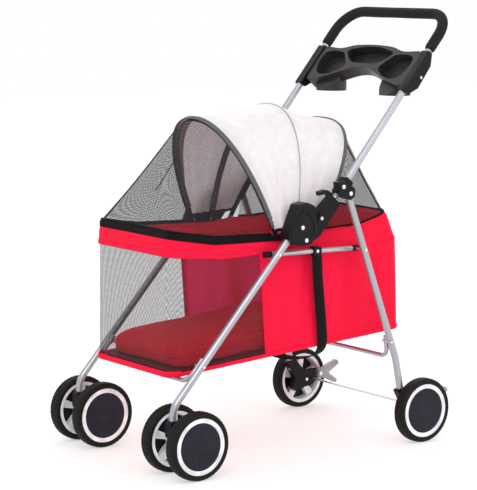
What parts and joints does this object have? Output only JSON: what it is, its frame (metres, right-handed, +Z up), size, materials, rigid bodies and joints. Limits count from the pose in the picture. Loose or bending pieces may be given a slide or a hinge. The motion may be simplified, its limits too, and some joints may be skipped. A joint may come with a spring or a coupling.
{
  "type": "folding pet stroller",
  "caption": "Folding pet stroller: fabric cabin with mesh windows and hood on a tube frame, twin front casters, braked rear wheels, parent tray.",
  "frame": {"origin": "on the floor, at the centre of the footprint's length and width", "axes": "+X to the stroller's left, +Y to its back (the handle), +Z up"},
  "size_m": [0.4978, 0.832, 0.9975],
  "materials": {
    "painted_tube": "silver-grey gloss paint",
    "black_plastic": "fine moulded texture",
    "steel_pins": "zinc plated",
    "tyre": "foam rubber",
    "wheel_ring": "white-grey moulded",
    "wheel_cap": "near-black satin",
    "grip_foam": "foam sleeve",
    "red_fabric": "plain weave polyester",
    "cushion_fabric": "plain weave, padded",
    "floor_board": "stiffener board",
    "mesh_fabric": "open mesh",
    "canopy_fabric": "plain weave polyester",
    "webbing": "ribbed webbing",
    "zip_tape": "zip on woven tape",
    "bow_strip": "flat strip",
    "pedal_plastic": "grey moulded"
  },
  "bodies": {
    "front_frame": {"front_leg_left": "painted_tube", "front_leg_right": "painted_tube", "front_u_bar": "painted_tube", "hinge_housings": "black_plastic", "front_fasteners": "steel_pins", "basket_shell": "red_fabric", "basket_rim_wire": "steel_pins", "base_board": "floor_board", "floor_cushion": "cushion_fabric", "rim_zipper": "zip_tape", "belly_strap": "webbing", "canopy_cover": "canopy_fabric", "rear_mesh": "mesh_fabric", "canopy_bow_back": "bow_strip"},
    "caster_left": {"caster_fork_left": "black_plastic", "caster_axle_left": "steel_pins"},
    "front_wheel_left_outer": {"front_wheel_left_outer_tyre": "tyre", "front_wheel_left_outer_hub": "wheel_ring", "front_wheel_left_outer_cap": "wheel_cap"},
    "front_wheel_left_inner": {"front_wheel_left_inner_tyre": "tyre", "front_wheel_left_inner_hub": "wheel_ring", "front_wheel_left_inner_cap": "wheel_cap"},
    "caster_right": {"caster_fork_right": "black_plastic", "caster_axle_right": "steel_pins"},
    "front_wheel_right_outer": {"front_wheel_right_outer_tyre": "tyre", "front_wheel_right_outer_hub": "wheel_ring", "front_wheel_right_outer_cap": "wheel_cap"},
    "front_wheel_right_inner": {"front_wheel_right_inner_tyre": "tyre", "front_wheel_right_inner_hub": "wheel_ring", "front_wheel_right_inner_cap": "wheel_cap"},
    "handle_frame": {"handle_tube": "painted_tube", "foam_grip": "grip_foam", "parent_tray": "black_plastic", "tray_clamps": "black_plastic", "latch_blocks": "black_plastic", "leg_brackets": "black_plastic", "handle_fasteners": "steel_pins"},
    "rear_frame": {"rear_leg_left": "painted_tube", "rear_leg_right": "painted_tube", "rear_u_bar": "painted_tube", "rear_link_rod": "steel_pins", "wheel_brackets": "black_plastic", "rear_fasteners": "steel_pins"},
    "rear_wheel_left": {"rear_wheel_left_tyre": "tyre", "rear_wheel_left_hub": "wheel_ring", "rear_wheel_left_cap": "wheel_cap"},
    "side_rail_left": {"side_rail_left": "painted_tube", "rail_fittings_left": "black_plastic"},
    "lock_hook_left": {"lock_hook_left": "black_plastic"},
    "brake_pedal_left": {"brake_pedal_left": "pedal_plastic"},
    "rear_wheel_right": {"rear_wheel_right_tyre": "tyre", "rear_wheel_right_hub": "wheel_ring", "rear_wheel_right_cap": "wheel_cap"},
    "side_rail_right": {"side_rail_right": "painted_tube", "rail_fittings_right": "black_plastic"},
    "lock_hook_right": {"lock_hook_right": "black_plastic"},
    "brake_pedal_right": {"brake_pedal_right": "pedal_plastic"},
    "canopy_front": {"canopy_bow_front": "bow_strip", "front_mesh": "mesh_fabric"},
    "canopy_middle": {"canopy_bow_middle": "bow_strip"}
  },
  "joints": [
    {"name": "caster_swivel_left", "type": "hinge", "parent": "front_frame", "child": "caster_left", "pos_m": [0.187, -0.372, 0.125], "axis": [0, 0, 1], "continuous": true},
    {"name": "front_wheel_left_outer_spin", "type": "hinge", "parent": "caster_left", "child": "front_wheel_left_outer", "pos_m": [0.2339, -0.341, 0.075], "axis": [1, 0, 0], "continuous": true},
    {"name": "front_wheel_left_inner_spin", "type": "hinge", "parent": "caster_left", "child": "front_wheel_left_inner", "pos_m": [0.1401, -0.341, 0.075], "axis": [1, 0, 0], "continuous": true},
    {"name": "caster_swivel_right", "type": "hinge", "parent": "front_frame", "child": "caster_right", "pos_m": [-0.187, -0.372, 0.125], "axis": [0, 0, 1], "continuous": true},
    {"name": "front_wheel_right_outer_spin", "type": "hinge", "parent": "caster_right", "child": "front_wheel_right_outer", "pos_m": [-0.2339, -0.341, 0.075], "axis": [1, 0, 0], "continuous": true},
    {"name": "front_wheel_right_inner_spin", "type": "hinge", "parent": "caster_right", "child": "front_wheel_right_inner", "pos_m": [-0.1401, -0.341, 0.075], "axis": [1, 0, 0], "continuous": true},
    {"name": "handle_fold", "type": "hinge", "parent": "front_frame", "child": "handle_frame", "pos_m": [0, -0.028, 0.491], "axis": [-1, 0, 0], "range_deg": [0, 120]},
    {"name": "rear_fold", "type": "hinge", "parent": "handle_frame", "child": "rear_frame", "pos_m": [0, 0.085, 0.59], "axis": [1, 0, 0], "range_deg": [0, 61.2]},
    {"name": "rear_wheel_left_spin", "type": "hinge", "parent": "rear_frame", "child": "rear_wheel_left", "pos_m": [0.23, 0.3, 0.075], "axis": [1, 0, 0], "continuous": true},
    {"name": "rail_fold_left", "type": "hinge", "parent": "front_frame", "child": "side_rail_left", "pos_m": [0.172, -0.094, 0.462], "axis": [-1, 0, 0], "range_deg": [0, 86.9], "deforming": ["belly_strap"]},
    {"name": "hook_lift_left", "type": "hinge", "parent": "handle_frame", "child": "lock_hook_left", "pos_m": [0.187, 0.016, 0.537], "axis": [-1, 0, 0], "range_deg": [0, 13], "stiffness_Nm_per_rad": 0.08, "springref_deg": -28.65},
    {"name": "brake_press_left", "type": "hinge", "parent": "rear_frame", "child": "brake_pedal_left", "pos_m": [0.202, 0.343, 0.085], "axis": [-1, 0, 0], "range_deg": [0, 18]},
    {"name": "rear_wheel_right_spin", "type": "hinge", "parent": "rear_frame", "child": "rear_wheel_right", "pos_m": [-0.23, 0.3, 0.075], "axis": [1, 0, 0], "continuous": true},
    {"name": "rail_fold_right", "type": "hinge", "parent": "front_frame", "child": "side_rail_right", "pos_m": [-0.172, -0.094, 0.462], "axis": [-1, 0, 0], "range_deg": [0, 86.9]},
    {"name": "hook_lift_right", "type": "hinge", "parent": "handle_frame", "child": "lock_hook_right", "pos_m": [-0.187, 0.016, 0.537], "axis": [-1, 0, 0], "range_deg": [0, 13], "stiffness_Nm_per_rad": 0.08, "springref_deg": -28.65},
    {"name": "brake_press_right", "type": "hinge", "parent": "rear_frame", "child": "brake_pedal_right", "pos_m": [-0.202, 0.343, 0.085], "axis": [-1, 0, 0], "range_deg": [0, 18]},
    {"name": "canopy_open", "type": "hinge", "parent": "front_frame", "child": "canopy_front", "pos_m": [0, -0.08, 0.503], "axis": [-1, 0, 0], "range_deg": [0, 50], "deforming": ["canopy_cover", "front_mesh"]},
    {"name": "canopy_middle_bow", "type": "hinge", "parent": "front_frame", "child": "canopy_middle", "pos_m": [0, -0.03, 0.503], "axis": [-1, 0, 0], "range_deg": [0, 24.5]}
  ],
  "couplings": [
    {"joint": "rear_fold", "follows": "handle_fold", "ratio": 0.51},
    {"joint": "rail_fold_left", "follows": "handle_fold", "ratio": 0.724},
    {"joint": "rail_fold_right", "follows": "handle_fold", "ratio": 0.724},
    {"joint": "canopy_middle_bow", "follows": "canopy_open", "ratio": 0.49}
  ]
}
